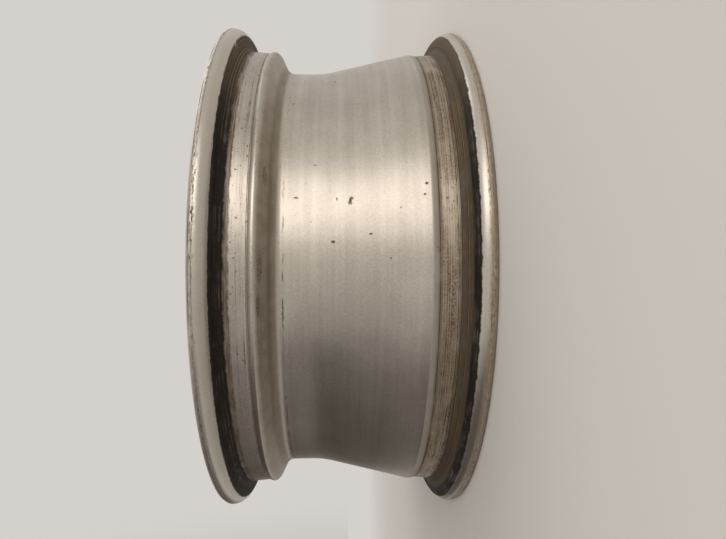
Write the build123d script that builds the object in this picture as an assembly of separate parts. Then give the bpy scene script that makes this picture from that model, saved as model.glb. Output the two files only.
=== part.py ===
from build123d import *

import os
from math import acos, ceil, radians, sin, tan

# A 16 x 6.5 J car wheel, cast in aluminium as one piece. All sizes are in millimetres.
# The origin is on the wheel's axis, midway between the flange walls. +Z points to the outer face.

# Tyre side of the rim: flanges, bead seats, the hump beside each seat, and the drop centre
bead_diameter = 405.6  # where the bead seat would meet the flange wall
rim_width = 165.1  # from flange wall to flange wall
flange_height = 17.5
flange_radius = 9.5
lip_width = 3.5  # from the crown out to the side face
lip_fall = 1.8
lip_height = 9.0  # from the foot of the side face to the top of the flange
heel_radius = 6.5
seat_angle = 5.0
hump_height = 1.5  # above the line of the bead seat
hump_ramp = 5.5  # from the seat up to the crest
outer_hump_offset = 26.0  # from the outer flange wall to the crest
outer_hump_radius = 5.0  # where the crest turns down into the drop centre
inner_hump_offset = 24.5
well_depth = 18.4
well_offset = 34.5  # from the outer flange wall to the foot of the drop centre's steep side
well_width = 31.0
well_foot_radius = 9.0
cone_radius = 60.0  # where the drop centre's floor turns up towards the inner flange
turning_step = 0.75  # how far a curve stands off the straight passes that follow it

# Inside of the barrel
barrel_wall = 5.2
seat_wall = 4.8  # under the inner bead seat
seat_root = 2.5  # from the inner flange wall back to the root of its lip
ring_wall = 8.3  # of the ring that the spokes run into
ring_draft = 3.0
ring_slope = 15.0  # height in which the barrel's inside widens to the ring
window_relief = 0.8  # the windows skim the inside of the barrel

# Face
wheel_offset = 45.0  # mounting face, from the rim's middle
hub_thickness = 25.5
face_recess = 9.0  # spokes' front below the lip, at the rim
shoulder_blend = 75.0
spoke_depth = 32.5
back_blend = 13.0  # from the spokes' back into the barrel

# Spokes in pairs, with a window between two pairs and a slot within each pair
pair_count = 5
pair_turn = 54.0  # direction of the first pair, from +X
pair_half_width_inner = 30.0  # at the hub end of the windows
pair_half_width_outer = 53.0  # at the rim
slot_half_width_inner = 5.0
slot_half_width_outer = 18.0
window_inner_corner = 15.0
window_outer_corner = 13.0
slot_inner_corner = 5.5
slot_outer_corner = 9.0
slot_setback = 13.0  # hub end of the slots beyond that of the windows
window_draft = 5.0

# Hollow in the back of each spoke
pocket_inset = 4.0  # from the outline that the spoke has at the lip
pocket_roof = 8.0  # metal left behind the spokes' front
pocket_setback = 15.0  # hub end of the pockets beyond that of the slots
pocket_rim = 9.0  # from the inside of the barrel
pocket_corner = 5.0
pocket_draft = 3.0

# Hub: centring bore, seat for a cap, and holes for the wheel bolts
centre_bore = 57.1
bore_clearance = 0.1  # on the diameter
bore_length = 14.0
bore_chamfer = 2.0
relief_step = 2.0
cap_step = 3.5
cap_depth = 7.0
cap_chamfer = 1.2
cap_rim = 12.0
bolt_count = 5
bolt_circle = 112.0
bolt_hole = 15.0
bolt_hole_length = 9.0
bolt_well = 26.0
bolt_seat_angle = 60.0
pad_rim = 9.5  # round the bolt holes, on the mounting face
pad_slope = 5.0
window_setback = 13.0  # hub end of the windows beyond the mounting face
shoulder_setback = 26.0
hub_pocket_depth = 9.0
hub_pocket_bore_wall = 13.0
hub_pocket_bolt_wall = 8.5
hub_pocket_rim = 6.0
hub_pocket_corner = 5.0

# Valve hole, square to the steep side of the drop centre
valve_hole = 11.5
valve_hole_length = 4.5
valve_seat = 17.0
valve_turn = 90.0

flange_width = flange_radius + lip_width
wall_height = rim_width / 2
side_height = wall_height + flange_width
bead_radius = bead_diameter / 2
flange_top = bead_radius + flange_height
lip_foot = flange_top - lip_height
well_radius = bead_radius - well_depth
well_inside = well_radius - barrel_wall
well_top = wall_height - well_offset
well_end = well_top - well_width
ring_radius = bead_radius - ring_wall

pad_radius = (bolt_circle + bolt_hole) / 2 + pad_rim
window_radius = pad_radius + window_setback
slot_radius = window_radius + slot_setback
pocket_radius = slot_radius + pocket_setback
shoulder_radius = window_radius + shoulder_setback
bore_radius = (centre_bore + bore_clearance) / 2
relief_radius = bore_radius + relief_step
cap_radius = relief_radius + cap_step
hub_front = wheel_offset + hub_thickness
spoke_front = side_height - face_recess
spoke_back = spoke_front - spoke_depth
beyond = 1.2 * flange_top


def passes(edge):
    # start of each straight pass along one edge of a section
    if edge.geom_type == GeomType.LINE:
        return [edge @ 0]
    longest_turn = 2 * acos(1 - turning_step / edge.radius)
    count = ceil(edge.length / edge.radius / longest_turn)
    return [edge @ (i / count) for i in range(count)]


def turned(corners):
    # closed section of (radius, height, corner radius), revolved about the wheel's axis
    points = [(radius, height) for radius, height, blend in corners]
    blends = [blend for radius, height, blend in corners]
    outline = FilletPolyline(*points, radius=blends, close=True)
    followed = [point for edge in outline.wire().order_edges() for point in passes(edge)]
    return revolve(Plane.XZ * make_face(Polyline(*followed, close=True)), Axis.Z)


def seat_radius(distance):
    # of a bead seat, at a distance from its flange wall
    return bead_radius - distance * tan(radians(seat_angle))


def crown(side):
    # ends of the straight passes over a flange, from its top down to its wall
    count = ceil(radians(90) / (2 * acos(1 - turning_step / flange_radius)))
    arc = CenterArc((0, 0), flange_radius, 0, 90)
    ends = [arc @ (i / count) for i in range(count + 1)]
    middle = flange_top - flange_radius
    return [(middle + end.X, side * (wall_height + flange_radius - end.Y), 0.0) for end in ends]


def crest_radius(distance):
    # of a hump, at a distance from its flange wall
    return seat_radius(distance) + hump_height


def flange(side, crest_offset, crest_blend=0.0):
    # from the foot of the lip to the hump's crest, with side 1 for the outer flange
    ramp_foot = crest_offset - hump_ramp
    return [
        (lip_foot, side * side_height, 0.0),
        (flange_top - lip_fall, side * side_height, 0.0),
        *crown(side),
        (bead_radius, side * wall_height, heel_radius),
        (seat_radius(ramp_foot), side * (wall_height - ramp_foot), 0.0),
        (crest_radius(crest_offset), side * (wall_height - crest_offset), crest_blend),
    ]


def barrel_inside():
    return [
        (bead_radius - seat_wall, -wall_height + seat_root, 0.0),
        (well_inside, well_end, 0.0),
        (well_inside, spoke_back, back_blend),
    ]


def hub_back_and_bore():
    return [
        (pad_radius + pad_slope, spoke_back, 0.0),
        (pad_radius, wheel_offset, 0.0),
        (bore_radius + bore_chamfer, wheel_offset, 0.0),
        (bore_radius, wheel_offset + bore_chamfer, 0.0),
        (bore_radius, wheel_offset + bore_length, 0.0),
        (relief_radius, wheel_offset + bore_length + relief_step, 0.0),
        (relief_radius, hub_front - cap_depth, 0.0),
        (cap_radius, hub_front - cap_depth, 0.0),
        (cap_radius, hub_front - cap_chamfer, 0.0),
        (cap_radius + cap_chamfer, hub_front, 0.0),
    ]


def face_front(drop=0.0):
    # from the hub out to the rim
    return [
        (cap_radius + cap_rim, hub_front - drop, 0.0),
        (shoulder_radius, spoke_front - drop, shoulder_blend),
        (bead_radius, spoke_front - drop, 0.0),
    ]


def blank():
    # the whole wheel as turned, before anything is cut through or into its face
    tyre_side = flange(1, outer_hump_offset, outer_hump_radius)
    tyre_side += [(well_radius, well_top, well_foot_radius), (well_radius, well_end, cone_radius)]
    tyre_side += reversed(flange(-1, inner_hump_offset))
    return turned(tyre_side + barrel_inside() + hub_back_and_bore() + face_front())


def barrel_room():
    # space inside the barrel and its ring, which the windows stay in
    return turned([
        (pad_radius, well_top - 20, 0.0),
        (well_inside - window_relief, well_top - 20, 0.0),
        (well_inside + window_relief, well_top + window_relief, 0.0),
        (ring_radius, well_top + ring_slope, 0.0),
        (ring_radius + ring_draft, side_height, 0.0),
        (pad_radius, side_height, 0.0),
    ])


def pocket_room():
    # space behind the spokes' front, which their pockets stay in
    return turned(face_front(pocket_roof)[:2] + [
        (ring_radius, spoke_front - pocket_roof, 0.0),
        (ring_radius, 0.0, 0.0),
        (cap_radius + cap_rim, 0.0, 0.0),
    ])


def ring(inner_radius, outer_radius):
    return Circle(outer_radius) - Circle(inner_radius)


def half_width(radius, inner, outer):
    # of a tapered strip, given its half widths at the hub and rim ends of the windows
    return inner + (outer - inner) * (radius - window_radius) / (ring_radius - window_radius)


def strip_edge(inner, outer, turn=0.0):
    # two points on one long edge of a tapered strip, turned about the wheel's axis
    ends = [(radius, half_width(radius, inner, outer)) for radius in (pad_radius, beyond)]
    return [Vector(*end).rotate(Axis.Z, turn) for end in ends]


def between(low_edge, high_edge, inner_radius, outer_radius):
    # what lies between two edges and two radii
    low_near, low_far = low_edge
    high_near, high_far = high_edge
    corners = Polyline(low_near, low_far, high_far, high_near, close=True)
    return make_face(corners) & ring(inner_radius, outer_radius)


def mirrored(edge):
    return [Vector(point.X, -point.Y) for point in edge]


def rounded(outline, inner_corner, outer_corner):
    # the two corners nearer the hub get one radius and the two at the rim the other
    nearest_first = outline.vertices().sort_by_distance((0, 0, 0))
    outline = fillet(nearest_first[:2], inner_corner)
    nearest_first = outline.vertices().sort_by_distance((0, 0, 0))
    return fillet(nearest_first[-2:], outer_corner)


def cutter(outline, draft=0.0):
    # prism from the lip down past the back of the spokes, narrower as it goes down
    prism = extrude(outline, amount=side_height - well_end, dir=(0, 0, 1), taper=draft)
    return Pos(0, 0, side_height) * mirror(prism, about=Plane.XY) & barrel_room()


def window():
    # between two pairs of spokes, centred on +X
    pair = strip_edge(pair_half_width_inner, pair_half_width_outer, -180 / pair_count)
    outline = between(pair, mirrored(pair), window_radius, ring_radius)
    return cutter(rounded(outline, window_inner_corner, window_outer_corner), window_draft)


def slot():
    # between the two spokes of a pair, centred on +X
    edge = strip_edge(slot_half_width_inner, slot_half_width_outer)
    outline = between(mirrored(edge), edge, slot_radius, ring_radius)
    return cutter(rounded(outline, slot_inner_corner, slot_outer_corner))


def spoke_pocket():
    # in the back of one spoke of a pair that is centred on +X
    slot_side, pair_side = [], []
    for radius in (pocket_radius, well_inside - pocket_rim):
        low = half_width(radius, slot_half_width_inner, slot_half_width_outer)
        high = half_width(radius, pair_half_width_inner, pair_half_width_outer)
        slot_side.append((radius, low + pocket_inset))
        pair_side.append((radius, high - pocket_inset))
    outline = make_face(Polyline(*slot_side, *reversed(pair_side), close=True))
    outline = chamfer(outline.vertices(), pocket_corner)
    prism = extrude(outline, amount=hub_front, dir=(0, 0, 1), taper=pocket_draft)
    return Pos(0, 0, wheel_offset) * prism & pocket_room()


def hub_pocket():
    # in the mounting face, between two bolt holes, centred on +X
    near = bore_radius + hub_pocket_bore_wall
    far = pad_radius - hub_pocket_rim
    to_bolt = bolt_circle / 2 * sin(radians(180 / bolt_count))
    half = to_bolt - bolt_hole / 2 - hub_pocket_bolt_wall
    outline = make_face(Polyline((near, -half), (far, -half), (far, half), (near, half), close=True))
    outline = chamfer(outline.vertices(), hub_pocket_corner)
    return Pos(0, 0, wheel_offset) * extrude(outline, amount=hub_pocket_depth, dir=(0, 0, 1))


def bolt_cutter():
    # clearance hole, cone seat and well for the bolt's head
    seat_foot = wheel_offset + bolt_hole_length
    seat_height = (bolt_well - bolt_hole) / 2 / tan(radians(bolt_seat_angle / 2))
    shape = turned([
        (0.0, wheel_offset - 1, 0.0),
        (bolt_hole / 2, wheel_offset - 1, 0.0),
        (bolt_hole / 2, seat_foot, 0.0),
        (bolt_well / 2, seat_foot + seat_height, 0.0),
        (bolt_well / 2, side_height, 0.0),
        (0.0, side_height, 0.0),
    ])
    return Pos(bolt_circle / 2, 0, 0) * shape


def valve_cutter():
    # through the middle of the drop centre's steep side, with a flat seat on the air side
    top = Vector(crest_radius(outer_hump_offset), 0, wall_height - outer_hump_offset)
    foot = Vector(well_radius, 0, well_top)
    air_side = (top - foot).cross(Vector(0, 1, 0)).normalized()
    on_tyre_side = Plane(origin=(top + foot) / 2, z_dir=air_side)
    hole = Cylinder(valve_hole / 2, 4 * valve_hole_length)
    seat = Cylinder(valve_seat / 2, 2 * ring_slope, align=(Align.CENTER, Align.CENTER, Align.MIN))
    return on_tyre_side * (hole + Pos(0, 0, valve_hole_length) * seat)


def copies(shape, count, first_turn):
    return [Rot(0, 0, first_turn + 360 / count * i) * shape for i in range(count)]


wheel = blank()
wheel -= copies(window(), pair_count, pair_turn + 180 / pair_count)
wheel -= copies(slot(), pair_count, pair_turn)
wheel -= copies(spoke_pocket(), pair_count, pair_turn)
wheel -= copies(mirror(spoke_pocket(), about=Plane.XZ), pair_count, pair_turn)
wheel -= copies(hub_pocket(), bolt_count, pair_turn + 180 / bolt_count)
wheel -= copies(bolt_cutter(), bolt_count, pair_turn)
wheel -= Rot(0, 0, valve_turn) * valve_cutter()

os.makedirs("parts", exist_ok=True)
export_step(wheel, "parts/wheel_rim.step")
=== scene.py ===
import bpy, bmesh
from math import cos, pi, radians, sin, sqrt, tan
from mathutils import Matrix, Vector


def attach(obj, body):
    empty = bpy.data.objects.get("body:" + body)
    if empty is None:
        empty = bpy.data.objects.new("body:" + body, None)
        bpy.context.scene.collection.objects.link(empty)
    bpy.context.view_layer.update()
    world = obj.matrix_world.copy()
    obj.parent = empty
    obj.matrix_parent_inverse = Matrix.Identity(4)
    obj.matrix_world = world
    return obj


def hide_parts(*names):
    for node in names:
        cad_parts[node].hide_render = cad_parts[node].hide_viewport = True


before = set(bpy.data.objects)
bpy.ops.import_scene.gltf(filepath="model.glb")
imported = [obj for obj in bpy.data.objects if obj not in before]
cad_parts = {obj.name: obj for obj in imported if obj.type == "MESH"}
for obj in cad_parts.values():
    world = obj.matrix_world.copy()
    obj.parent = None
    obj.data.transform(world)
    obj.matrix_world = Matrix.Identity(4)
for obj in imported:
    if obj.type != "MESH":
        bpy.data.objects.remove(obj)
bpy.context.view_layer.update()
scene = bpy.context.scene
mm = 0.001
print("frame loaded")

cameraValues = {
    "place": (0.0025, -0.5361, 0.0045),
    "forward": (-0.0098, 0.9987, -0.0497),
    "up": (1.0, 0.0098, 0.0012),  # the wheel stands on its tread side in the picture
    "lens": 25.88, "sensor": 36.0, "clipStart": 0.01,
}


def makeCamera(values):
    data = bpy.data.cameras.new("photoCamera")
    data.sensor_width = values["sensor"]
    data.lens = values["lens"]
    data.clip_start = values["clipStart"]
    camera = bpy.data.objects.new("photoCamera", data)
    scene.collection.objects.link(camera)
    back = -Vector(values["forward"]).normalized()
    right = Vector(values["up"]).cross(back).normalized()
    up = back.cross(right)
    turned = Matrix((right, up, back)).transposed().to_4x4()
    camera.matrix_world = Matrix.Translation(values["place"]) @ turned
    scene.camera = camera


makeCamera(cameraValues)
print("camera placed")


# Materials, made from nodes

def makeNode(tree, kind, sockets=None, **settings):
    node = tree.nodes.new("ShaderNode" + kind)
    for name, value in settings.items():
        setattr(node, name, value)
    for name, value in (sockets or {}).items():
        if isinstance(value, bpy.types.NodeSocket):
            tree.links.new(value, node.inputs[name])
        else:
            node.inputs[name].default_value = value
    return node


def maths(tree, operation, first, second=0.0, third=0.0):
    return makeNode(tree, "Math", {0: first, 1: second, 2: third}, operation=operation).outputs[0]


def product(tree, *values):
    result = values[0]
    for value in values[1:]:
        result = maths(tree, "MULTIPLY", result, value)
    return result


def most(tree, *values):
    # the largest of the values
    result = values[0]
    for value in values[1:]:
        result = maths(tree, "MAXIMUM", result, value)
    return result


def plus(tree, base, *shares):
    # base with a share of each value added
    for value, share in shares:
        base = maths(tree, "MULTIPLY_ADD", value, share, base)
    return base


def step(tree, value, start, end, low=0.0, high=1.0):
    # smooth change from low to high as the value goes from start to end
    sockets = {"Value": value, "From Min": start, "From Max": end, "To Min": low, "To Max": high}
    return makeNode(tree, "MapRange", sockets, interpolation_type="SMOOTHSTEP").outputs["Result"]


def band(tree, value, ends, soft):
    # one between the two ends, none outside
    start, end = ends
    rise = step(tree, value, start - soft, start + soft)
    return product(tree, rise, step(tree, value, end - soft, end + soft, 1.0, 0.0))


def grain(tree, where, scale, detail=3.0, roughness=0.55, stretch=(1, 1, 1)):
    # noise on the object's own coordinates, stretched along each axis
    mapping = makeNode(tree, "Mapping", {"Vector": where, "Scale": stretch})
    sockets = {"Vector": mapping.outputs[0], "Scale": scale, "Detail": detail, "Roughness": roughness}
    return makeNode(tree, "TexNoise", sockets).outputs["Fac"]


def mixed(tree, amount, first, second):
    sockets = {0: amount, 6: first, 7: second}
    return makeNode(tree, "Mix", sockets, data_type="RGBA").outputs[2]


def bentBy(tree, where, scale, shift):
    # the coordinates pushed about by a fine noise
    noise = makeNode(tree, "TexNoise", {"Vector": where, "Scale": scale, "Detail": 2.0})
    sockets = {0: noise.outputs["Color"], 1: (shift,) * 3, 2: where}
    return makeNode(tree, "VectorMath", sockets, operation="MULTIPLY_ADD").outputs[0]


def pits(tree, where, scale, size, share):
    # small ragged spots of uneven size, in only a share of the cells
    bent = bentBy(tree, where, scale * 2.6, 0.55 / scale)
    cells = makeNode(tree, "TexVoronoi", {"Vector": bent, "Scale": scale})
    chosen = makeNode(tree, "SeparateColor", {0: cells.outputs["Color"]})
    reach = plus(tree, cells.outputs["Distance"], (chosen.outputs[1], -size))
    spot = step(tree, reach, -size * 0.5, 0.0, 1.0, 0.0)
    return product(tree, spot, maths(tree, "LESS_THAN", chosen.outputs[0], share))


def marks(tree, where, places):
    # marks at given places: place in metres, half size along each axis in millimetres
    shift = 0.0014
    bent = bentBy(tree, where, 420.0, shift)
    total = 0.0
    for place, size in places:
        centre = [p + shift / 2 for p in place]
        apart = makeNode(tree, "VectorMath", {0: bent, 1: centre}, operation="SUBTRACT").outputs[0]
        sockets = {0: apart, 1: [1 / (s * mm) for s in size]}
        apart = makeNode(tree, "VectorMath", sockets, operation="MULTIPLY").outputs[0]
        away = makeNode(tree, "VectorMath", {0: apart}, operation="LENGTH").outputs["Value"]
        total = most(tree, step(tree, away, 0.6, 1.0, 1.0, 0.0), total)
    return total


def newMaterial(name):
    material = bpy.data.materials.new(name)
    material.use_nodes = True
    material.node_tree.nodes.clear()
    return material, material.node_tree


def finishMaterial(tree, color, metallic, roughness, relief, values):
    # the shader with its bump; sockets that are the same all over are set on it
    sockets = {"Strength": values["bumpStrength"], "Distance": values["bumpDepth"], "Height": relief}
    bump = makeNode(tree, "Bump", sockets)
    surface = makeNode(tree, "BsdfPrincipled", {"Base Color": color, "Metallic": metallic,
                                                "Roughness": roughness, "Normal": bump.outputs[0]})
    for name, value in values["wholeSockets"].items():
        surface.inputs[name].default_value = value
    makeNode(tree, "OutputMaterial", {"Surface": surface.outputs[0]})


# The tyre side: lacquer that has carried a tyre; heights and radii in millimetres
treadValues = {
    "silverDark": (0.40, 0.365, 0.32, 1), "silverLight": (0.62, 0.575, 0.515, 1),
    # the wall tint is a darker silver: on the steep side of the drop centre and on the inner ramp it is dust
    # and painted shade, on the outer seats and the scuffs a dusty tint
    "chalk": (0.64, 0.61, 0.565, 1), "wallTint": (0.42, 0.375, 0.33, 1),
    # the corner tint is painted shade, in the corners at the foot of the steep side and of the inner ramp
    "paintedCornerShade": (0.24, 0.20, 0.155, 1), "seatTint": (0.42, 0.345, 0.265, 1),
    "dirt": (0.085, 0.052, 0.030, 1), "seatBrown": (0.17, 0.115, 0.070, 1),
    "rust": (0.10, 0.062, 0.034, 1), "rustLight": (0.34, 0.25, 0.13, 1),
    "crownStain": (0.35, 0.26, 0.155, 1), "rubber": (0.017, 0.013, 0.010, 1),
    "rubberStreak": (0.11, 0.095, 0.085, 1), "heelBrown": (0.20, 0.145, 0.085, 1),
    "heelDark": (0.036, 0.023, 0.014, 1),
    "metal": (0.88, 0.05),  # of bare lacquer, and of what covers it
    "roughness": (0.28, 0.72),
    "bumpStrength": 0.55, "bumpDepth": 0.00028,
    "wholeSockets": {"Specular IOR Level": 0.25},
    # the noises: more is finer
    "cloudSize": 14.0, "wanderSize": 30.0, "blotchSize": 75.0, "breakSize": 110.0, "raggedSize": 160.0,
    "crustSize": 260.0, "grainSize": 900.0, "speckleSize": 1500.0, "latheLines": 1.1, "ringSize": 1.1,
    "raggedHeight": 3.2, "raggedRadius": 2.4,  # how far a ragged edge strays
    # zones, from one height to another
    # the steep side and the inner ramp carry dust and painted shade; the steep corner and the ramp foot carry
    # painted shade in their corners
    "steepSide": (44.8, 57.2), "steepCorner": (45.6, 50.4), "wellCorner": (40.6, 41.4),  # of the drop centre
    "innerRamp": (-63.0, -57.6), "rampFoot": (-64.6, -61.2), "innerSideFrom": (-60.0, -64.0),
    "outerSeat": (60.6, 75.0), "innerSeat": (-76.5, -62.6),
    "humpFlank": (50.0, 61.0), "humpFoot": (61.6, 63.0),
    "outerCrown": (82.6, 84.0), "innerCrown": (-83.0, -85.0), "stainFrom": (-80.0, -84.0),
    "outerPitting": (91.0, 93.4), "innerPitting": (-95.2, -90.0),
    # the last line, at the foot of the inner ramp, is painted shade in that corner
    "seatLines": [(-74.4, 0.22), (-75.6, 0.22), (-62.6, 0.3)],  # height and half width
    "lipLines": [((91.6, 92.0), 0.2), ((93.6, 94.3), 0.25), ((-91.4, -90.8), 0.25)],  # ends and softness
    # what the tyre left behind
    "outerRubber": (76.8, 215.0), "outerRubberEnd": (88.0, 89.0),  # from a height, out to a radius
    "innerRubberRadii": (209.6, 217.6), "innerRubber": (-90.5, -70.0),
    "outerHalo": (73.6, 78.0), "innerHeel": (-91.0, -76.1), "heelRadii": (211.0, 213.0),
    # height in the picture from which the rubber turns brown towards the lit top: painted light
    "paintedLightFrom": (0.14, 0.20),  # along X, up the picture, in metres
    # single marks: place in metres, half size along each axis in millimetres
    "chips": [((0.0226, -0.1912, -0.0179), (0.9, 3, 1.3)), ((0.0175, -0.1858, 0.0072), (1.0, 3, 1.5)),
              ((0.0067, -0.1955, -0.0308), (0.6, 3, 0.6)), ((0.0563, -0.1933, -0.0548), (1.1, 3, 1.3)),
              ((0.0488, -0.1950, -0.0532), (0.8, 3, 0.9)), ((0.1502, -0.1112, 0.0063), (1.5, 3, 0.8)),
              ((0.1242, -0.1362, 0.0381), (0.6, 3, 0.9)), ((0.1244, -0.1360, 0.0328), (0.5, 3, 0.6)),
              ((0.0468, -0.1813, 0.0046), (1.4, 3, 0.5)), ((0.0404, -0.1931, -0.0376), (0.5, 3, 0.5)),
              ((0.0477, -0.1780, 0.0325), (0.6, 3, 1.9)), ((0.0718, -0.1697, 0.0199), (0.5, 3, 1.5)),
              ((0.0013, -0.2036, 0.0774), (2.2, 3, 1.2)), ((0.0079, -0.2200, 0.0833), (0.6, 3, 0.6)),
              ((0.0067, -0.2015, -0.0679), (0.7, 3, 0.6)), ((-0.0034, -0.2017, -0.0678), (0.8, 3, 0.6))],
    "smudges": [((-0.0010, -0.1980, 0.0543), (12.0, 4, 2.6)), ((-0.0240, -0.1983, 0.0552), (9.0, 4, 1.8)),
                ((0.0620, -0.1850, 0.0528), (10.0, 5, 1.6))],
    "scuffs": [((0.1218, -0.1465, -0.0095), (1.0, 4, 8.5)), ((0.0771, -0.1726, -0.0030), (0.7, 3, 1.6))],
    "scratches": [((-0.0925, -0.1789, -0.0549), (0.45, 4, 2.6)), ((-0.0805, -0.1678, 0.0094), (0.35, 4, 3.4)),
                  ((0.1533, -0.1042, 0.0129), (0.5, 4, 3.0))],
}


def treadFields(tree, v):
    # height and radius in millimetres, the zones, and the noises that the layers share
    where = makeNode(tree, "TexCoord").outputs["Object"]
    split = makeNode(tree, "SeparateXYZ", {0: where})
    height = maths(tree, "MULTIPLY", split.outputs["Z"], 1 / mm)
    flat = makeNode(tree, "VectorMath", {0: where, 1: (1, 1, 0)}, operation="MULTIPLY").outputs[0]
    reach = makeNode(tree, "VectorMath", {0: flat}, operation="LENGTH").outputs["Value"]
    radius = maths(tree, "MULTIPLY", reach, 1 / mm)
    ragged = maths(tree, "SUBTRACT", grain(tree, where, v["raggedSize"], 4.0, 0.7), 0.5)
    lines = grain(tree, where, v["latheLines"], 4.0, 0.7, (9, 9, 900))
    innerSide = step(tree, height, *v["innerSideFrom"])
    lineLevel = maths(tree, "MULTIPLY_ADD", innerSide, -0.07, 0.56)
    alongSection = maths(tree, "SUBTRACT", height, radius)
    rings = {"W": alongSection, "Scale": v["ringSize"], "Detail": 4.0, "Roughness": 0.75}
    return dict(
        where=where, flat=flat, up=split.outputs["X"], height=height, radius=radius, innerSide=innerSide,
        raggedHeight=plus(tree, height, (ragged, v["raggedHeight"])),
        raggedRadius=plus(tree, radius, (ragged, v["raggedRadius"])),
        cloud=grain(tree, where, v["cloudSize"]),
        blotch=grain(tree, where, v["blotchSize"], 4.0),
        speck=grain(tree, where, v["grainSize"], 2.0),
        breaks=grain(tree, where, v["breakSize"], 3.0, 0.65, (0.4, 0.4, 1.1)),
        rings=makeNode(tree, "TexNoise", rings, noise_dimensions="1D").outputs["Fac"],
        broadLines=grain(tree, where, 1.0, 2.0, stretch=(5, 5, 170)),
        lines=lines,
        fineLines=step(tree, maths(tree, "SUBTRACT", lines, lineLevel), -0.01, 0.06),
        seats=most(tree, band(tree, height, v["outerSeat"], 0.6), band(tree, height, v["innerSeat"], 0.6)),
        # dust and painted shade on the steep side and on the inner ramp
        dusty=most(tree, band(tree, height, v["steepSide"], 1.3), band(tree, height, v["innerRamp"], 0.8)),
        crowns=most(tree, step(tree, height, *v["outerCrown"]), step(tree, height, *v["innerCrown"])))


def lacquerColor(tree, f, v):
    # bare lacquer, with cloudy and turned variation
    tone = plus(tree, 0.0, (f["cloud"], 0.5), (f["broadLines"], 0.3), (f["speck"], 0.35))
    color = mixed(tree, step(tree, tone, 0.36, 0.80), v["silverDark"], v["silverLight"])
    # dust and painted shade on the steep side of the drop centre and on the ramp behind the inner hump: a
    # darker silver, broken up in blotches
    dust = product(tree, f["dusty"], step(tree, f["blotch"], 0.25, 0.75, 0.45, 1.0))
    color = mixed(tree, dust, color, v["wallTint"])
    # painted shade, darker still, in the corner at the foot of the steep side
    corner = band(tree, f["height"], v["steepCorner"], 1.2)
    corner = product(tree, corner, step(tree, f["breaks"], 0.2, 0.7, 0.5, 0.85))
    return mixed(tree, corner, color, v["paintedCornerShade"])


def seatColor(tree, f, v, color):
    # bead seats: a dusty tint, fine specks and brown streaks; and painted shade at the foot of the inner ramp
    tint = product(tree, f["seats"], maths(tree, "MULTIPLY_ADD", f["innerSide"], 0.55, 0.25),
                   step(tree, f["blotch"], 0.2, 0.7, 0.4, 1.0))
    color = mixed(tree, tint, color, mixed(tree, f["innerSide"], v["wallTint"], v["seatTint"]))
    speckle = step(tree, grain(tree, f["where"], v["speckleSize"], 2.0, 0.6), 0.54, 0.62)
    speckled = product(tree, step(tree, f["blotch"], 0.42, 0.62), speckle,
                       most(tree, f["seats"], band(tree, f["height"], v["humpFlank"], 1.0)))
    smudged = product(tree, marks(tree, f["where"], v["smudges"]),
                      step(tree, f["speck"], 0.38, 0.60, 0.2, 1.0), 0.7)
    color = mixed(tree, most(tree, product(tree, speckled, 0.55), smudged), color, v["seatBrown"])
    streaks = product(tree, f["innerSide"], f["seats"], step(tree, f["rings"], 0.45, 0.54),
                      step(tree, f["speck"], 0.30, 0.60, 0.30, 1.0),
                      step(tree, f["breaks"], 0.30, 0.58, 0.40, 0.95))
    color = mixed(tree, streaks, color, v["seatBrown"])
    # painted shade in the corner at the foot of the inner ramp
    ramp = product(tree, band(tree, f["height"], v["rampFoot"], 1.1),
                   step(tree, f["breaks"], 0.2, 0.6, 0.35, 0.75))
    return mixed(tree, ramp, color, v["paintedCornerShade"])


def edgeLines(tree, f, v):
    # single dark lines left by the tyre's edges; the one at the foot of the inner ramp is painted shade in that
    # corner
    edges = product(tree, band(tree, f["height"], v["humpFoot"], 0.25), 0.42)
    for level, width in v["seatLines"]:
        edges = most(tree, edges, band(tree, f["height"], (level - width, level + width), 0.15))
    return product(tree, edges, step(tree, f["breaks"], 0.3, 0.55, 0.35, 0.95))


def darkLines(tree, f, v, edges):
    # those lines, the old dirt in the turning marks, and a broken line in the corner of the drop centre
    seatDirt = product(tree, f["seats"], f["fineLines"], step(tree, f["speck"], 0.35, 0.6, 0.35, 1.0),
                       step(tree, f["breaks"], 0.34, 0.66, 0.15, 0.9))
    corner = product(tree, band(tree, f["raggedHeight"], v["wellCorner"], 0.4),
                     step(tree, f["breaks"], 0.44, 0.56), step(tree, f["up"], 0.06, -0.02, 0.25, 1.0))
    return most(tree, edges, seatDirt, corner)


def allPits(tree, f, v):
    few = pits(tree, f["where"], 62.0, 0.17, 0.10)
    onSeats = product(tree, f["seats"], pits(tree, f["where"], 430.0, 0.44, 0.30))
    fine = product(tree, pits(tree, f["where"], 700.0, 0.34, 0.05), step(tree, f["cloud"], 0.4, 0.7))
    return most(tree, few, onSeats, fine, marks(tree, f["where"], v["chips"]))


def chipColor(tree, f, v, color, pitted):
    rusty = mixed(tree, step(tree, f["speck"], 0.4, 0.6), v["rust"], v["rustLight"])
    color = mixed(tree, pitted, color, rusty)
    color = mixed(tree, product(tree, marks(tree, f["where"], v["scuffs"]), 0.5), color, v["wallTint"])
    return mixed(tree, marks(tree, f["where"], v["scratches"]), color, v["chalk"])


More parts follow.
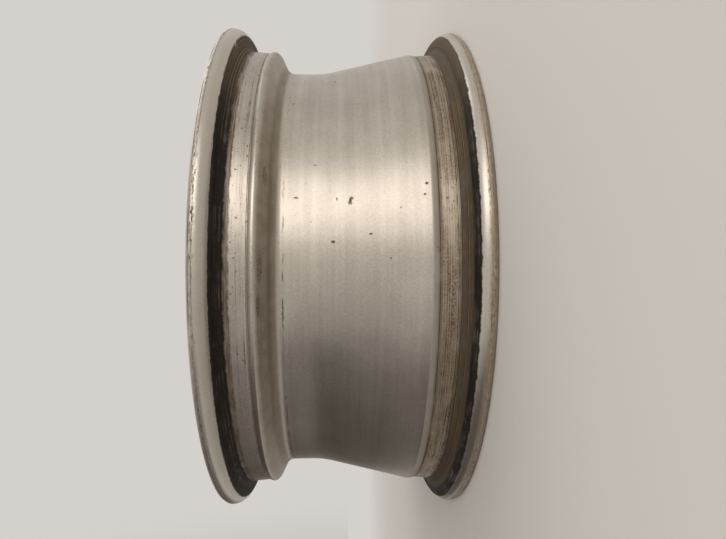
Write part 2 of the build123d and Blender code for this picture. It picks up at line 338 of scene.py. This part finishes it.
def flangeColor(tree, f, v, color):
    # chalky lacquer on the flanges, with brown pitting and fine lines along the crowns
    color = mixed(tree, product(tree, f["crowns"], 0.35), color, v["chalk"])
    pitting = most(tree, band(tree, f["raggedHeight"], v["outerPitting"], 0.7),
                   band(tree, f["raggedHeight"], v["innerPitting"], 1.2))
    crust = grain(tree, f["where"], v["crustSize"], 5.0, 0.8, (1, 1, 3.0))
    corroded = product(tree, pitting, step(tree, crust, 0.50, 0.60),
                       step(tree, f["cloud"], 0.28, 0.6, 0.35, 1.0))
    lipLines = most(tree, *[band(tree, f["height"], ends, soft) for ends, soft in v["lipLines"]])
    lipLines = product(tree, lipLines, step(tree, f["breaks"], 0.36, 0.6, 0.2, 0.9))
    corroded = most(tree, corroded, lipLines)
    color = mixed(tree, corroded, color, v["rust"])
    stain = product(tree, pitting, step(tree, f["height"], *v["stainFrom"]),
                    step(tree, f["blotch"], 0.3, 0.6, 0.2, 0.6))
    return mixed(tree, stain, color, v["crownStain"]), corroded


def rubberMask(tree, f, v):
    # black residue at the two flange walls, worn through in places
    height, radius = v["outerRubber"]
    outer = product(tree, step(tree, f["raggedHeight"], height - 0.5, height + 0.7),
                    step(tree, f["raggedRadius"], radius - 0.5, radius + 0.3, 1.0, 0.0),
                    step(tree, f["height"], *v["outerRubberEnd"], 1.0, 0.0))
    near, far = v["innerRubberRadii"]
    inner = product(tree, step(tree, f["raggedRadius"], near - 0.8, near + 1.2),
                    step(tree, f["raggedRadius"], far - 0.5, far + 0.3, 1.0, 0.0),
                    band(tree, f["height"], v["innerRubber"], 0.5))
    worn = step(tree, plus(tree, f["breaks"], (f["speck"], 0.25)), 0.80, 0.88, 1.0, 0.35)
    return product(tree, most(tree, outer, inner), worn)


def residueColor(tree, f, v, color, rubber):
    # brown halo beside the outer rubber, and brown streaks over the inner heel
    halo = product(tree, band(tree, f["raggedHeight"], v["outerHalo"], 0.7),
                   step(tree, f["lines"], 0.40, 0.56, 0.55, 1.0),
                   step(tree, f["breaks"], 0.3, 0.55, 0.6, 0.95))
    heel = product(tree, band(tree, f["height"], v["innerHeel"], 0.3),
                   step(tree, f["raggedRadius"], *v["heelRadii"], 1.0, 0.0),
                   step(tree, f["breaks"], 0.3, 0.55, 0.88, 1.0))
    halo = most(tree, halo, heel)
    heelStreaks = product(tree, step(tree, f["rings"], 0.46, 0.55),
                          step(tree, f["breaks"], 0.35, 0.60, 0.30, 1.0), heel)
    brown = mixed(tree, heelStreaks, mixed(tree, heel, v["dirt"], v["heelDark"]), v["heelBrown"])
    color = mixed(tree, halo, color, brown)
    # black rubber with lighter rings; towards the lit top of the picture it turns brown, which is painted light
    wander = grain(tree, f["flat"], v["wanderSize"], 2.0)
    ringLines = maths(tree, "MULTIPLY_ADD", f["radius"], 0.55, product(tree, wander, 0.35))
    ringLines = step(tree, maths(tree, "FRACT", ringLines), 0.72, 0.86)
    streak = product(tree, most(tree, f["fineLines"], ringLines), step(tree, f["breaks"], 0.42, 0.66))
    black = mixed(tree, streak, v["rubber"], v["rubberStreak"])
    paintedLightTop = product(tree, step(tree, plus(tree, f["up"], (f["cloud"], 0.10)), *v["paintedLightFrom"]), 0.85)
    paintedLightBrown = mixed(tree, step(tree, f["rings"], 0.42, 0.58), v["heelDark"], v["heelBrown"])
    return mixed(tree, rubber, color, mixed(tree, paintedLightTop, black, paintedLightBrown)), halo


def treadMaterial(v):
    material, tree = newMaterial("tyreSideLacquer")
    f = treadFields(tree, v)
    edges = edgeLines(tree, f, v)
    lined = darkLines(tree, f, v, edges)
    pitted = allPits(tree, f, v)
    rubber = rubberMask(tree, f, v)
    color = seatColor(tree, f, v, lacquerColor(tree, f, v))
    color = mixed(tree, lined, color, v["dirt"])
    color = chipColor(tree, f, v, color, pitted)
    color, corroded = flangeColor(tree, f, v, color)
    color, halo = residueColor(tree, f, v, color, rubber)

    cover = most(tree, rubber, lined, pitted, corroded, product(tree, halo, 0.9))
    metallic = step(tree, cover, 0.0, 1.0, *v["metal"])
    shine = plus(tree, v["roughness"][0], (f["speck"], 0.12), (f["dusty"], 0.10), (f["crowns"], -0.05),
                 (f["blotch"], 0.06))
    roughness = step(tree, cover, 0.0, 1.0, shine, v["roughness"][1])
    # relief: cast grain, turning marks, pits and crusts
    lumps = plus(tree, 0.3, (f["breaks"], 1.2))
    relief = plus(tree, 0.0, (f["speck"], 0.30), (f["lines"], 0.20), (f["blotch"], 0.5), (pitted, -1.2),
                  (edges, -0.8), (corroded, 0.7), (rubber, lumps))
    finishMaterial(tree, color, metallic, roughness, relief, v)
    return material


# The air side: front, spokes and the inside of the barrel
airValues = {
    "silverDark": (0.43, 0.425, 0.415, 1), "silverLight": (0.59, 0.58, 0.565, 1),
    "brakeDust": (0.10, 0.070, 0.045, 1), "chip": (0.16, 0.13, 0.10, 1),
    "metal": (0.85, 0.05),  # of bare lacquer, and of what covers it
    "roughness": (0.30, 0.7),
    "bumpStrength": 0.35, "bumpDepth": 0.0002,
    "wholeSockets": {"Coat Weight": 0.25, "Coat Roughness": 0.12},
    "cloudSize": 16.0, "blotchSize": 90.0, "grainSize": 1100.0,
    "dustFrom": (72.0, 52.0),  # heights, from the front backwards
}


def airMaterial(v):
    material, tree = newMaterial("faceLacquer")
    where = makeNode(tree, "TexCoord").outputs["Object"]
    split = makeNode(tree, "SeparateXYZ", {0: where})
    height = maths(tree, "MULTIPLY", split.outputs["Z"], 1 / mm)
    cloud = grain(tree, where, v["cloudSize"])
    blotch = grain(tree, where, v["blotchSize"], 4.0)
    speck = grain(tree, where, v["grainSize"], 2.0)
    tone = plus(tree, 0.0, (cloud, 0.7), (speck, 0.3))
    color = mixed(tree, step(tree, tone, 0.3, 0.75), v["silverDark"], v["silverLight"])
    dusty = step(tree, plus(tree, 0.0, (cloud, 0.6), (blotch, 0.6)), 0.35, 0.85, 0.15, 0.8)
    dust = product(tree, step(tree, height, *v["dustFrom"]), dusty)
    color = mixed(tree, dust, color, v["brakeDust"])
    chips = pits(tree, where, 120.0, 0.10, 0.10)
    color = mixed(tree, chips, color, v["chip"])
    cover = most(tree, product(tree, dust, 0.8), chips)
    metallic = step(tree, cover, 0.0, 1.0, *v["metal"])
    shine = plus(tree, v["roughness"][0], (speck, 0.08))
    roughness = step(tree, cover, 0.0, 1.0, shine, v["roughness"][1])
    relief = plus(tree, 0.0, (blotch, 0.3), (chips, -1.0), (speck, 0.4))
    finishMaterial(tree, color, metallic, roughness, relief, v)
    return material


lacquers = [treadMaterial(treadValues), airMaterial(airValues)]
print("materials made")


# Small tools for flat outlines, given in millimetres with a rounding for each corner

def between(table, x):
    # straight line between the pairs of a table
    for (x0, y0), (x1, y1) in zip(table, table[1:]):
        if x <= x1:
            return y0 + (y1 - y0) * max(0.0, (x - x0) / (x1 - x0))
    return table[-1][1]


def grown(outline, offset):
    # each side moved outwards, and each outer rounding with it
    result = []
    for i, (x, y, blend) in enumerate(outline):
        here = Vector((x, y))
        before = (here - Vector(outline[i - 1][:2])).normalized()
        after = (Vector(outline[(i + 1) % len(outline)][:2]) - here).normalized()
        first, second = Vector((before.y, -before.x)), Vector((after.y, -after.x))
        corner = here + (first + second) / (1 + first.dot(second)) * offset
        convex = before.cross(after) > 0
        result.append((corner.x, corner.y, max(0.2, blend + (offset if convex else -offset))))
    return result


def flatFace(bm, outline, segments, place):
    # a face whose corners are bevelled, each by its own rounding; no segments: as many as the turn needs
    corners = [bm.verts.new(place(x, y)) for x, y, blend in outline]
    points = [v.co.copy() for v in corners]
    bm.faces.new(corners)
    for i, vertex in enumerate(corners):
        if outline[i][2] == 0:
            continue
        before = (points[i - 1] - points[i]).normalized()
        after = (points[(i + 1) % len(points)] - points[i]).normalized()
        turn = pi - before.angle(after)
        count = segments if segments else max(2, round(turn / radians(8)))
        offset = outline[i][2] * mm * tan(turn / 2)
        bmesh.ops.bevel(bm, geom=[vertex], offset=offset, offset_type="OFFSET", segments=count,
                        profile=0.5, affect="VERTICES", clamp_overlap=False, material=-1)


def meshFrom(bm, name, material=0):
    bmesh.ops.remove_doubles(bm, verts=bm.verts[:], dist=1e-6)
    bmesh.ops.recalc_face_normals(bm, faces=bm.faces[:])
    for face in bm.faces:
        face.material_index = material if isinstance(material, int) else material(face.calc_center_median())
    mesh = bpy.data.meshes.new(name)
    bm.to_mesh(mesh)
    bm.free()
    return mesh


def spunMesh(name, section, steps, material):
    # a closed section of radius and height, spun round the wheel's axis
    bm = bmesh.new()
    flatFace(bm, section, 0, lambda r, z: (r * mm, 0.0, z * mm))
    bmesh.ops.delete(bm, geom=bm.faces[:], context="FACES_ONLY")
    onAxis = [edge for edge in bm.edges if max(v.co.x for v in edge.verts) < 1e-6]
    bmesh.ops.delete(bm, geom=onAxis, context="EDGES")
    bmesh.ops.spin(bm, geom=bm.verts[:] + bm.edges[:], cent=(0, 0, 0), axis=(0, 0, 1), angle=2 * pi,
                   steps=steps, use_merge=True)
    return meshFrom(bm, name, material)


def columnMesh(name, outline, rows, limit=None, rise=None):
    # outline grown and lifted row by row, and joined up into a closed column;
    # limit keeps it inside a radius for each height, rise lifts its points
    bm = bmesh.new()
    loops = []
    for offset, height in rows:
        known = set(bm.edges)
        flatFace(bm, grown(outline, offset), 6, lambda x, y: (x * mm, y * mm, height * mm))
        loop = [edge for edge in bm.edges if edge not in known]
        if height not in (rows[0][1], rows[-1][1]):
            bmesh.ops.delete(bm, geom=list(loop[0].link_faces), context="FACES_ONLY")
        for vertex in {v for edge in loop for v in edge.verts}:
            radius = vertex.co.xy.length
            if limit and radius > between(limit, height) * mm:
                vertex.co.xy *= between(limit, height) * mm / radius
            if rise:
                vertex.co.z += rise(radius / mm, height) * mm
        loops.append(loop)
    for lower, upper in zip(loops, loops[1:]):
        bmesh.ops.bridge_loops(bm, edges=lower + upper)
    return meshFrom(bm, name, 1)


def copiesOf(mesh, turns, mirrored=False):
    made = []
    for turn in turns:
        for flip in ((1, -1) if mirrored else (1,)):
            copy = mesh.copy()
            copy.transform(Matrix.Rotation(radians(turn), 4, "Z") @ Matrix.Diagonal((1, flip, 1, 1)))
            if flip < 0:
                copy.flip_normals()
            made.append(copy)
    return made


def objectOf(name, meshes):
    # one object of all the meshes; material 0 is the tyre side, 1 the air side
    bm = bmesh.new()
    for mesh in meshes:
        bm.from_mesh(mesh)
    joined = bpy.data.meshes.new(name)
    bm.to_mesh(joined)
    bm.free()
    for lacquer in lacquers:
        joined.materials.append(lacquer)
    made = bpy.data.objects.new(name, joined)
    scene.collection.objects.link(made)
    return made


def putInOrder(mesh):
    # points and faces in a fixed order, so that each run gives the same mesh; points at one place become one
    places = sorted({vertex.co[:] for vertex in mesh.vertices})
    rank = {place: i for i, place in enumerate(places)}
    faces = []
    for polygon in mesh.polygons:
        corners = [rank[mesh.vertices[i].co[:]] for i in polygon.vertices]
        corners = [corner for i, corner in enumerate(corners) if corner != corners[i - 1]]
        if len(corners) > 2:
            first = corners.index(min(corners))
            faces.append((corners[first:] + corners[:first], polygon.material_index))
    faces.sort()
    mesh.clear_geometry()
    mesh.from_pydata(places, [], [corners for corners, material in faces])
    mesh.polygons.foreach_set("material_index", [material for corners, material in faces])


def cutAway(body, cutter):
    # the body's mesh, less the cutter's, takes the place of its mesh
    modifier = body.modifiers.new("cut", "BOOLEAN")
    modifier.operation, modifier.solver, modifier.object = "DIFFERENCE", "EXACT", cutter
    cut = bpy.data.meshes.new_from_object(body.evaluated_get(bpy.context.evaluated_depsgraph_get()))
    body.modifiers.clear()
    body.data = cut
    bpy.data.objects.remove(cutter)
    putInOrder(cut)
    # slivers along the cut are merged away, and what they leave is thrown out
    bm = bmesh.new()
    bm.from_mesh(cut)
    bmesh.ops.remove_doubles(bm, verts=bm.verts[:], dist=2e-5)
    bmesh.ops.dissolve_degenerate(bm, edges=bm.edges[:], dist=1e-5)
    bmesh.ops.triangulate(bm, faces=[face for face in bm.faces if len(face.verts) > 4])
    twice = {}
    for face in bm.faces:
        twice.setdefault(frozenset(face.verts), []).append(face)
    doubled = [face for same in twice.values() if len(same) > 1 for face in same]
    bmesh.ops.delete(bm, geom=doubled, context="FACES")
    bm.to_mesh(cut)
    bm.free()
    putInOrder(cut)


# The wheel as cast and turned: corners of its section as radius, height and rounding
wheelValues = {
    "steps": 288,
    "outerFlange": [(211.3, 95.55, 1.5), (218.5, 95.55, 1.8), (220.3, 92.9, 2.0), (220.3, 82.55, 9.5),
                    (202.8, 82.55, 6.5)],
    # a fine groove at the foot of the outer hump, and two on the inner seat
    "outerHump": [(201.08, 62.9, 0), (200.72, 62.7, 0), (200.72, 62.1, 0), (201.18, 61.9, 0),
                  (202.4, 59.3, 3.0), (202.1, 56.35, 5.0)],
    "well": [(184.4, 48.05, 9.0), (184.4, 17.05, 60.0)],
    "innerHump": [(202.16, -58.05, 5.0), (201.1, -63.55, 5.0), (202.05, -74.2, 0), (201.80, -74.3, 0),
                  (201.82, -74.5, 0), (202.09, -74.6, 0), (202.16, -75.4, 0), (201.91, -75.5, 0),
                  (201.93, -75.7, 0), (202.2, -75.8, 0)],
    "innerFlange": [(202.8, -82.55, 6.5), (220.3, -82.55, 9.5), (220.3, -92.9, 2.0), (218.5, -95.55, 1.8),
                    (211.3, -95.55, 2.5)],
    "inside": [(198.0, -80.05, 12.0), (179.2, 17.05, 30.0), (179.2, 54.05, 13.0)],
    "hub": [(78.0, 54.05, 4.0), (73.0, 45.0, 1.2), (30.6, 45.0, 0.3), (28.6, 47.0, 0.3), (28.6, 59.0, 0.3),
            (30.6, 61.0, 0.3), (30.6, 63.5, 0.3), (34.1, 63.5, 0.3), (34.1, 69.3, 0.3), (35.3, 70.5, 0.4)],
    "front": [(46.1, 70.5, 14.0), (112.0, 86.55, 75.0), (202.8, 86.55, 5.0)],
    # height and radius of a line inside the metal that parts the tyre side from the air side
    "parting": [(-95.7, 211.2), (-80.05, 199.6), (17.05, 181.3), (48.85, 182.2), (54.05, 190.0), (63.05, 198.0),
                (82.0, 199.8), (86.6, 204.0), (95.7, 211.2)],
}


def wheelBlank(values):
    section = []
    for part in ("outerFlange", "outerHump", "well", "innerHump", "innerFlange", "inside", "hub", "front"):
        section += values[part]
    airSide = lambda p: 0 if p.xy.length / mm > between(values["parting"], p.z / mm) else 1
    return spunMesh("wheelCasting", section, values["steps"], airSide)


wheel = objectOf("wheelCasting", [wheelBlank(wheelValues)])
print("blank spun", len(wheel.data.polygons))

# Openings between the spokes, and the hollows behind them
spokeValues = {
    "pairTurns": [54 + 72 * i for i in range(5)],
    "windowTurns": [90 + 72 * i for i in range(5)],
    "reach": (86.0, 194.5),  # radii of a spoke pair's two ends
    "pairHalf": (30, 53), "slotHalf": (5, 18),  # half widths there, of the pair and of the slot in it
    "front": 86.55, "back": 54.05,
    "levels": (63.05, 56.0, 48.85, 30.0), "above": 108.0, "below": 40.0,
    # the dished front: radius and height
    "dish": [(46.1, 70.5), (100.0, 83.3), (112.0, 86.3), (118.0, 86.55), (230.0, 86.55)],
    # how far out an opening may reach: height and radius
    "ringLimit": [(28.0, 178.4), (48.85, 180.0), (63.05, 194.5), (84.0, 195.5), (86.6, 197.6), (110.0, 197.6)],
    "frontRounding": 2.6, "backRounding": 1.8,
    "windowCorners": (15, 13), "windowFoot": (85.6, 60), "windowArc": 150,  # roundings; foot with its radius
    "windowInset": 0.8, "windowDraft": 5.0,
    "slotStart": 99.0, "slotEnd": (194.7, 60), "slotCorners": (5.5, 9), "slotSlope": 0.01,
    "pocketReach": (114.0, 170.2), "pocketWall": 4.4, "pocketCorner": 7,
    "pocketRoof": 78.55, "pocketRounding": 3.0, "pocketDraft": 3.0,
    "hubPocketReach": (41.6, 67.0), "hubPocketHalf": 16.9, "hubPocketCorner": 6,
    "hubPocketRows": [(0.6, 40.0), (0.6, 45.1), (0, 45.7), (-0.4, 52.0), (-0.9, 53.2), (-2.0, 54.0)],
}


def halfWidth(radius, widths):
    (near, far), (narrow, wide) = spokeValues["reach"], widths
    return narrow + (wide - narrow) * (radius - near) / (far - near)


def sidePoint(reach, widths, turn=0.0):
    # where the side of a tapered strip crosses a circle
    along = reach
    for i in range(6):
        along = sqrt(reach ** 2 - halfWidth(along, widths) ** 2)
    point = Vector((along, halfWidth(along, widths)))
    point.rotate(Matrix.Rotation(radians(turn), 2))
    return point


def frontRise(radius, height):
    # how far the dished front lies below the flat of the spokes
    dish = between(spokeValues["dish"], radius)
    return (dish - spokeValues["front"]) if height > 80 else 0.0


def mouthRows(rounding, level, side):
    # offsets and heights down a rounded edge; side is 1 where the way in is from above
    angles = [radians(a) for a in (14, 34, 54, 74, 90)]
    return [(rounding * (1 - sin(a)), level - side * rounding * (1 - cos(a))) for a in angles]


def windowMesh(v):
    near, far = [sidePoint(reach, v["pairHalf"], -36) for reach in v["reach"]]
    arc = v["reach"][1] / cos(radians(3))
    inner, outer = v["windowCorners"]
    foot, footRounding = v["windowFoot"]
    outline = [(near.x, near.y, inner), (far.x, far.y, outer)]
    outline += [(arc * cos(radians(a)), arc * sin(radians(a)), v["windowArc"]) for a in (-12, -6, 0, 6, 12)]
    outline += [(far.x, -far.y, outer), (near.x, -near.y, inner), (foot, 0, footRounding)]
    drop, inset = tan(radians(v["windowDraft"])), v["windowInset"]
    rows = [(v["frontRounding"] - 0.6, v["above"])]
    rows += [(offset - inset, z) for offset, z in mouthRows(v["frontRounding"], v["front"], 1)]
    rows += [(-inset - drop * (v["front"] - z), z) for z in v["levels"]]
    return columnMesh("window", outline, rows, v["ringLimit"], frontRise)


def slotMesh(v):
    near, far = [sidePoint(reach, v["slotHalf"]) for reach in (v["slotStart"], v["reach"][1])]
    inner, outer = v["slotCorners"]
    end, endRounding = v["slotEnd"]
    outline = [(near.x, -near.y, inner), (far.x, -far.y, outer), (end, 0, endRounding), (far.x, far.y, outer),
               (near.x, near.y, inner)]
    rows = [(v["frontRounding"] - 0.6, v["above"])]
    rows += mouthRows(v["frontRounding"], v["front"], 1)
    rows += [(-v["slotSlope"] * (v["front"] - z), z) for z in v["levels"]]
    return columnMesh("slot", outline, rows, v["ringLimit"], frontRise)


def pocketMesh(v):
    start, end = v["pocketReach"]
    outline = [(r, halfWidth(r, v["slotHalf"]) + v["pocketWall"], v["pocketCorner"]) for r in (start, end)]
    outline += [(r, halfWidth(r, v["pairHalf"]) - v["pocketWall"], v["pocketCorner"]) for r in (end, start)]
    roof, rounding = v["pocketRoof"], v["pocketRounding"]
    rows = [(v["backRounding"] * 0.75, v["below"])] + mouthRows(v["backRounding"], v["back"], -1)
    side = -tan(radians(v["pocketDraft"])) * (roof - v["back"] - rounding)
    angles = [radians(a) for a in (0, 30, 60, 90)]
    rows += [(side - rounding * (1 - cos(a)), roof - rounding * (1 - sin(a))) for a in angles]
    return columnMesh("pocket", outline, rows)


def hubPocketMesh(v):
    (start, end), half, corner = v["hubPocketReach"], v["hubPocketHalf"], v["hubPocketCorner"]
    outline = [(start, -half, corner), (end, -half, corner), (end, half, corner), (start, half, corner)]
    return columnMesh("hubPocket", outline, v["hubPocketRows"])


# Round holes: corners of half a section in millimetres, its place in metres and its direction
holeValues = {
    "steps": 48,
    "bolt": [(0, 40, 0), (8.4, 40, 0), (8.4, 45, 0), (7.5, 45.9, 0), (7.5, 54, 0.1), (13, 63.53, 0.6),
             (13, 69, 3), (13.6, 100, 0), (0, 100, 0)],
    "boltPlace": (0.056, 0, 0),
    "valve": [(0, -12, 0), (6.4, -12, 0), (6.4, -0.3, 0), (5.75, 0.35, 0), (5.75, 4.1, 0), (6.1, 4.5, 0),
              (8.5, 4.5, 0), (8.5, 34, 0), (0, 34, 0)],
    "valvePlace": (0, 0.1932, 0.0523), "valveAxis": (0, -0.4344, 0.9007),
}


def holeMesh(name, values, axis=(0, 0, 1)):
    mesh = spunMesh(name, values[name], values["steps"], 1)
    tilt = Vector((0, 0, 1)).rotation_difference(Vector(axis)).to_matrix().to_4x4()
    mesh.transform(Matrix.Translation(values[name + "Place"]) @ tilt)
    return mesh


cuts = copiesOf(windowMesh(spokeValues), spokeValues["windowTurns"])
cuts += copiesOf(slotMesh(spokeValues), spokeValues["pairTurns"])
cuts += copiesOf(pocketMesh(spokeValues), spokeValues["pairTurns"], mirrored=True)
cuts += copiesOf(hubPocketMesh(spokeValues), spokeValues["windowTurns"])
cuts += copiesOf(holeMesh("bolt", holeValues), spokeValues["pairTurns"])
cutAway(wheel, objectOf("cutters", cuts))
cutAway(wheel, objectOf("valveCutter", [holeMesh("valve", holeValues, holeValues["valveAxis"])]))
print("openings cut", len(wheel.data.polygons))

wheel.data.shade_smooth()
wheel.data.set_sharp_from_angle(angle=radians(32))
evenNormals = wheel.modifiers.new("evenNormals", "WEIGHTED_NORMAL")
evenNormals.keep_sharp = True

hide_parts("wheel_rim")
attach(wheel, "root")

# Light, floor and surroundings
studioValues = {
    "floorLevel": -0.0957, "floorSize": 4.0, "floorRoughness": 0.9,
    "floorFade": (0.45, 1.4),  # distances over which the floor turns into the surroundings
    "floorColor": (0.80, 0.775, 0.735, 1),
    "surroundingsColor": (1.0, 0.96, 0.91, 1), "surroundings": 0.66,
    "belowColor": (0.09, 0.07, 0.052, 1), "belowFade": (-0.74, -0.40),
    # lamps: place, size, power and colour
    "key": ((0.77, -1.28, 0.05), (0.75, 2.2), 10.8, (1.0, 0.94, 0.86)),
    "fill": ((1.3, 0.4, 1.2), (1.2, 1.2), 5.0, (1.0, 0.99, 0.98)),
}


def makeFloor(values):
    bm = bmesh.new()
    bmesh.ops.create_grid(bm, x_segments=1, y_segments=1, size=values["floorSize"])
    mesh = bpy.data.meshes.new("floor")
    bm.to_mesh(mesh)
    bm.free()
    floor = bpy.data.objects.new("floor", mesh)
    floor.location.z = values["floorLevel"]
    scene.collection.objects.link(floor)
    paint = bpy.data.materials.new("floorPaint")
    paint.use_nodes = True
    tree = paint.node_tree
    surface = tree.nodes["Principled BSDF"]
    surface.inputs["Base Color"].default_value = values["floorColor"]
    surface.inputs["Roughness"].default_value = values["floorRoughness"]
    # far off, the rays that show it see the surroundings' colour; near the wheel it keeps its shadow
    where = makeNode(tree, "TexCoord").outputs["Object"]
    away = makeNode(tree, "VectorMath", {0: where}, operation="LENGTH").outputs["Value"]
    rays = makeNode(tree, "LightPath").outputs
    seen = most(tree, rays["Is Camera Ray"], rays["Is Glossy Ray"], rays["Is Transmission Ray"])
    far = product(tree, step(tree, away, *values["floorFade"]), seen)
    sockets = {"Color": values["surroundingsColor"], "Strength": values["surroundings"]}
    backdrop = makeNode(tree, "Emission", sockets).outputs[0]
    faded = makeNode(tree, "MixShader", {0: far, 1: surface.outputs[0], 2: backdrop}).outputs[0]
    tree.links.new(faded, tree.nodes["Material Output"].inputs["Surface"])
    mesh.materials.append(paint)


def areaLight(name, place, size, power, color):
    data = bpy.data.lights.new(name, "AREA")
    data.shape = "RECTANGLE"
    data.size, data.size_y = size
    data.energy = power
    data.color = color
    lamp = bpy.data.objects.new(name, data)
    lamp.location = place
    lamp.rotation_euler = (-Vector(place)).to_track_quat("-Z", "Y").to_euler()
    scene.collection.objects.link(lamp)


def makeSurroundings(values):
    # even all round, and darker from -X, which is the picture's lower side
    world = bpy.data.worlds.new("studio")
    scene.world = world
    world.use_nodes = True
    tree = world.node_tree
    where = makeNode(tree, "TexCoord").outputs["Generated"]
    across = makeNode(tree, "SeparateXYZ", {0: where}).outputs["X"]
    fade = step(tree, across, *values["belowFade"])
    tint = mixed(tree, fade, values["belowColor"], values["surroundingsColor"])
    background = tree.nodes["Background"]
    background.inputs["Strength"].default_value = values["surroundings"]
    tree.links.new(tint, background.inputs["Color"])


makeFloor(studioValues)
areaLight("keyLight", *studioValues["key"])
areaLight("fillLight", *studioValues["fill"])
makeSurroundings(studioValues)
scene.view_settings.view_transform = "Standard"
print("studio made")
